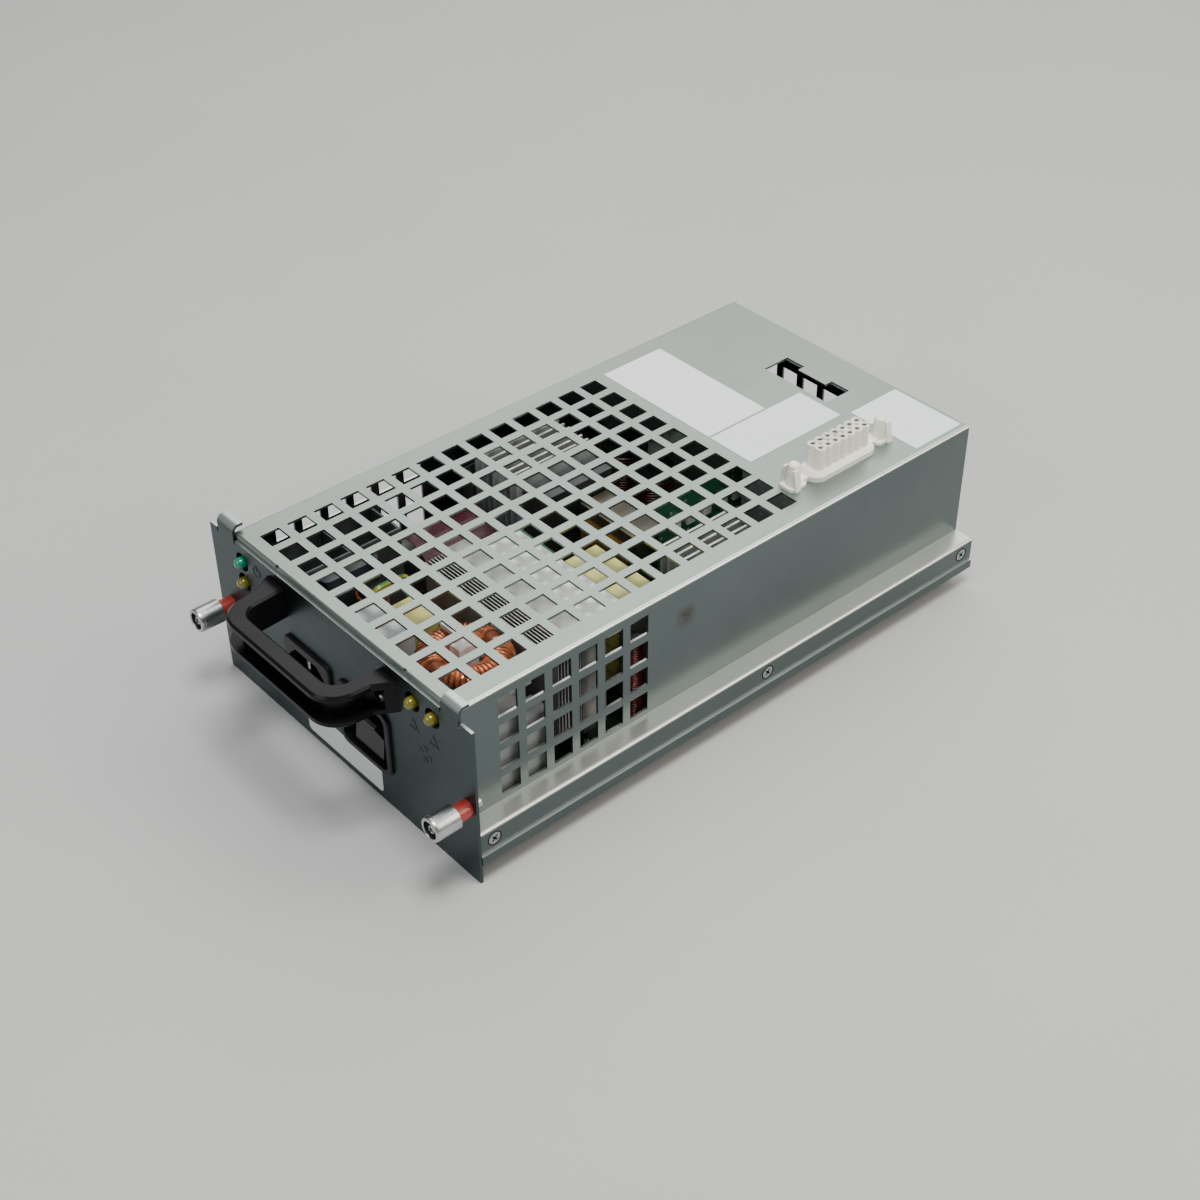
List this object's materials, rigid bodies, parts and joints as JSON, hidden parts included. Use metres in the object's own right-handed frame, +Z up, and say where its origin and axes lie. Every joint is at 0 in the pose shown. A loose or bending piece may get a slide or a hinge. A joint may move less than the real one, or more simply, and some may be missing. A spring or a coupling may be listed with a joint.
{
  "type": "hot swap server power supply",
  "caption": "Vented steel power supply module with a grab handle, mains inlet, rocker switch, captive thumbscrews and a blind-mate socket on top.",
  "frame": {"origin": "on the front face of the panel, in the middle of the cover's width, at the height of the tray's underside", "axes": "+X to the right seen from the front, +Y from the panel towards the rear (the way the module slides in), +Z up"},
  "size_m": [0.1652, 0.2952, 0.0891],
  "materials": {
    "zinc_steel": "satin zinc-plated sheet",
    "panel_steel": "satin zinc-plated sheet",
    "tray_steel": "satin zinc-plated sheet",
    "black_print": "printed",
    "front_sticker": "blank paper label",
    "white_sticker": "blank paper label",
    "blue_sticker": "blank paper label",
    "screw_steel": "zinc-plated",
    "handle_black": "moulded",
    "inlet_black": "moulded",
    "blade_metal": "plated",
    "switch_black": "moulded",
    "rocker_black": "moulded",
    "lens_green": "moulded",
    "lens_yellow": "moulded",
    "holder_black": "moulded",
    "sleeve_red": "moulded",
    "knob_metal": "turned and plated",
    "clip_steel": "spring steel",
    "socket_white": "moulded",
    "contact_metal": "turned",
    "board_green": "solder mask",
    "wall_grey": "folded sheet",
    "film_blue": "wrapped film",
    "coil_brown": "enamelled wire",
    "copper_wire": "enamelled copper wire",
    "pale_block": "moulded with a pale face",
    "yellow_tape": "wrapped tape",
    "moulded_white": "moulded",
    "maroon_skin": "shrunk sleeve",
    "can_metal": "drawn can",
    "fin_dark": "anodised extrusion",
    "fin_grey": "extrusion",
    "fin_bright": "bare extrusion",
    "core_dark": "ferrite",
    "wire_green": "green and yellow insulation"
  },
  "bodies": {
    "chassis": {"cover_top": "zinc_steel", "cover_front_lip": "zinc_steel", "cover_left_wall": "zinc_steel", "cover_right_wall": "zinc_steel", "cover_left_skirt": "zinc_steel", "cover_right_skirt": "zinc_steel", "base_tray": "tray_steel", "rear_wall": "tray_steel", "rear_flange": "tray_steel", "front_panel": "panel_steel", "panel_marks": "black_print", "front_label": "front_sticker", "top_label_left": "white_sticker", "top_label_middle": "blue_sticker", "top_label_rear": "blue_sticker", "skirt_screws": "screw_steel", "handle": "handle_black", "handle_screws": "screw_steel", "inlet_housing": "inlet_black", "inlet_pins": "blade_metal", "switch_bezel": "switch_black", "lamp_green": "lens_green", "lamps_yellow": "lens_yellow", "lamp_holders": "holder_black", "screw_sleeves": "sleeve_red", "connector_housing": "socket_white", "connector_contacts": "contact_metal", "main_board": "board_green", "board_standoffs": "screw_steel", "filter_box": "wall_grey", "side_bracket": "wall_grey", "filter_block": "film_blue", "relay_box": "pale_block", "taped_block": "yellow_tape", "film_capacitor": "moulded_white", "choke_winding": "copper_wire", "choke_holder": "moulded_white", "capacitor_sleeves": "maroon_skin", "capacitor_cans": "can_metal", "capacitor_cradles": "moulded_white", "fin_heatsink": "fin_dark", "flat_heatsink": "fin_grey", "plate_heatsink": "fin_bright", "middle_transformer_core": "core_dark", "middle_transformer_winding": "yellow_tape", "rear_transformer_core": "core_dark", "rear_transformer_winding": "yellow_tape", "rear_left_heatsink": "fin_bright", "rear_right_heatsink": "fin_bright", "grey_block": "fin_dark", "daughter_boards": "board_green", "brown_coils": "coil_brown", "side_coil": "copper_wire", "earth_wire": "wire_green"},
    "switch_rocker": {"switch_rocker": "rocker_black"},
    "left_clip": {"left_clip": "clip_steel"},
    "left_knob": {"left_knob": "knob_metal"},
    "right_clip": {"right_clip": "clip_steel"},
    "right_knob": {"right_knob": "knob_metal"}
  },
  "joints": [
    {"name": "rocker_tilt", "type": "hinge", "parent": "chassis", "child": "switch_rocker", "pos_m": [0.0131, 0.009, 0.022], "axis": [-1, 0, 0], "range_deg": [0, 20]},
    {"name": "left_screw_push", "type": "slide", "parent": "chassis", "child": "left_clip", "axis": [0, 1, 0], "range_m": [0, 0.0058], "stiffness_N_per_m": 200, "springref_m": -0.003},
    {"name": "left_screw_turn", "type": "hinge", "parent": "left_clip", "child": "left_knob", "pos_m": [-0.077, -0.011, 0.028], "axis": [0, 1, 0], "continuous": true},
    {"name": "right_screw_push", "type": "slide", "parent": "chassis", "child": "right_clip", "axis": [0, 1, 0], "range_m": [0, 0.0058], "stiffness_N_per_m": 200, "springref_m": -0.003},
    {"name": "right_screw_turn", "type": "hinge", "parent": "right_clip", "child": "right_knob", "pos_m": [0.0746, -0.011, 0.026], "axis": [0, 1, 0], "continuous": true}
  ]
}
